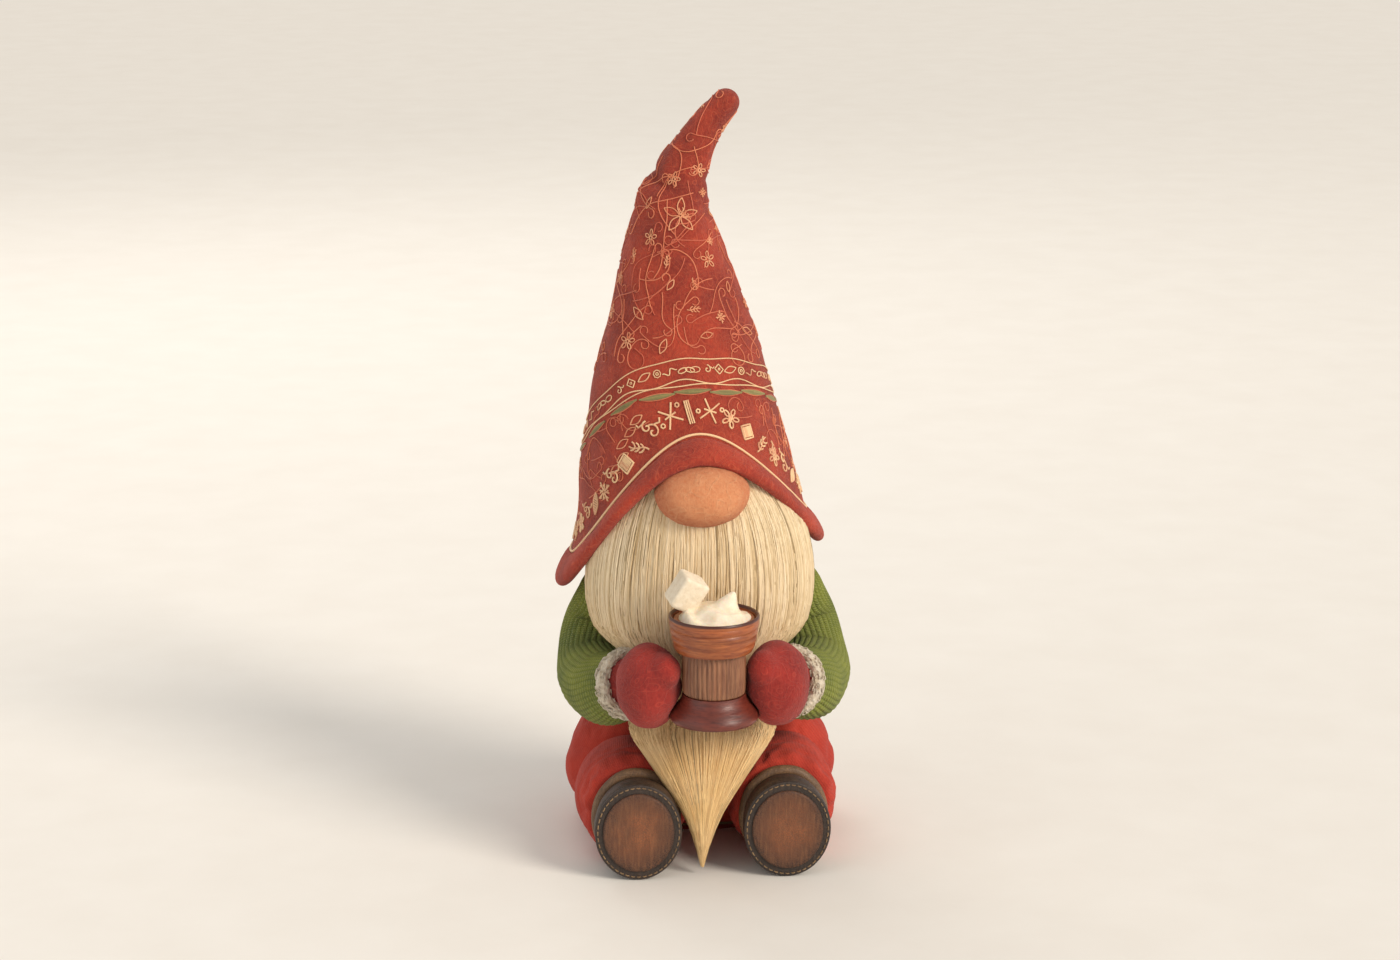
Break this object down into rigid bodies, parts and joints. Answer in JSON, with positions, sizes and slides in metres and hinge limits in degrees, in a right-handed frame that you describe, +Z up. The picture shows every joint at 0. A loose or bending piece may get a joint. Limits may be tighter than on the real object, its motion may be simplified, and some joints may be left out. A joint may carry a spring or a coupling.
{
  "type": "gnome figurine",
  "caption": "Sitting stuffed folk gnome with a tall bending felt hat, round nose, long beard and boots, holding a turned mug in both mittens.",
  "frame": {"origin": "on the surface it sits on, under the bolt of the neck", "axes": "+Z up, the figure faces -Y, and its right hand is at -X"},
  "size_m": [0.176, 0.2148, 0.4553],
  "materials": {
    "red_felt": "felt, matt",
    "cream_thread": "embroidery cotton, matt",
    "olive_thread": "embroidery ribbon, matt",
    "skin_felt": "needle felt, matt",
    "beard_fleece": "combed long-pile fleece",
    "green_knit": "wool knit, matt",
    "white_fleece": "short fleece, matt",
    "red_knit": "boiled wool, matt",
    "red_cloth": "brushed cotton, matt",
    "dark_leather": "waxed, satin",
    "tan_leather": "waxed, satin",
    "turned_wood": "oiled, satin",
    "ribbed_wood": "oiled, matt",
    "dark_wood": "stained, satin",
    "cocoa": "cast resin, satin",
    "cream": "air-dry clay, matt",
    "stuffing": "polyester fibre",
    "hardboard": "pressed fibre board",
    "steel": "bright wire"
  },
  "bodies": {
    "torso": {"felt_base_pad": "red_cloth", "base_board": "hardboard", "weight_bag": "hardboard", "trousers_seat": "red_cloth", "shoulder_rod": "turned_wood", "neck_bolt": "steel", "neck_disc_lower": "hardboard", "torso_stuffing": "stuffing", "jumper_body": "green_knit", "jumper_hem": "green_knit", "beard_lower": "beard_fleece"},
    "head": {"head_ball": "skin_felt", "nose_peg": "turned_wood", "nose": "skin_felt", "neck_disc_upper": "hardboard", "neck_nut": "steel", "beard_upper": "beard_fleece", "beard_backing_strip": "skin_felt", "hat_brim": "red_felt", "hat_body": "red_felt", "hat_piping": "cream_thread", "hat_ribbon": "olive_thread", "hat_wire": "steel", "hat_stuffing": "stuffing"},
    "hat_top": {"hat_top": "red_felt", "hat_top_wire": "steel", "hat_top_stuffing": "stuffing"},
    "right_arm": {"right_shoulder_disc": "hardboard", "right_sleeve": "green_knit", "right_arm_wire": "steel", "right_cuff": "white_fleece", "right_mitten": "red_knit", "mug_foot": "dark_wood", "mug_staves": "ribbed_wood", "mug_cup": "turned_wood", "mug_hoop": "turned_wood", "mug_cocoa": "cocoa", "mug_cream": "cream", "marshmallow": "cream"},
    "left_arm": {"left_shoulder_disc": "hardboard", "left_sleeve": "green_knit", "left_arm_wire": "steel", "left_cuff": "white_fleece", "left_mitten": "red_knit"},
    "right_leg": {"right_trouser_leg": "red_cloth", "right_boot_collar": "tan_leather", "right_boot_upper": "dark_leather", "right_boot_welt": "dark_leather", "right_boot_sole": "tan_leather"},
    "left_leg": {"left_trouser_leg": "red_cloth", "left_boot_collar": "tan_leather", "left_boot_upper": "dark_leather", "left_boot_welt": "dark_leather", "left_boot_sole": "tan_leather"}
  },
  "joints": [
    {"name": "neck_turn", "type": "hinge", "parent": "torso", "child": "head", "pos_m": [0, 0, 0.1575], "axis": [0, 0, 1], "range_deg": [-12, 12]},
    {"name": "hat_bend", "type": "hinge", "parent": "head", "child": "hat_top", "pos_m": [-0.015, 0, 0.345], "axis": [0, 1, 0], "range_deg": [-25, 25]},
    {"name": "right_shoulder_swing", "type": "hinge", "parent": "torso", "child": "right_arm", "pos_m": [-0.054, -0.002, 0.146], "axis": [-1, 0, 0], "range_deg": [0, 10]},
    {"name": "left_shoulder_swing", "type": "hinge", "parent": "torso", "child": "left_arm", "pos_m": [0.054, -0.002, 0.146], "axis": [-1, 0, 0], "range_deg": [0, 10]},
    {"name": "right_hip_swing", "type": "hinge", "parent": "torso", "child": "right_leg", "pos_m": [-0.045, -0.0535, 0.033], "axis": [1, 0, 0], "range_deg": [0, 60]},
    {"name": "left_hip_swing", "type": "hinge", "parent": "torso", "child": "left_leg", "pos_m": [0.045, -0.0535, 0.033], "axis": [1, 0, 0], "range_deg": [0, 60]}
  ],
  "couplings": [
    {"joint": "left_shoulder_swing", "follows": "right_shoulder_swing", "ratio": 1}
  ]
}
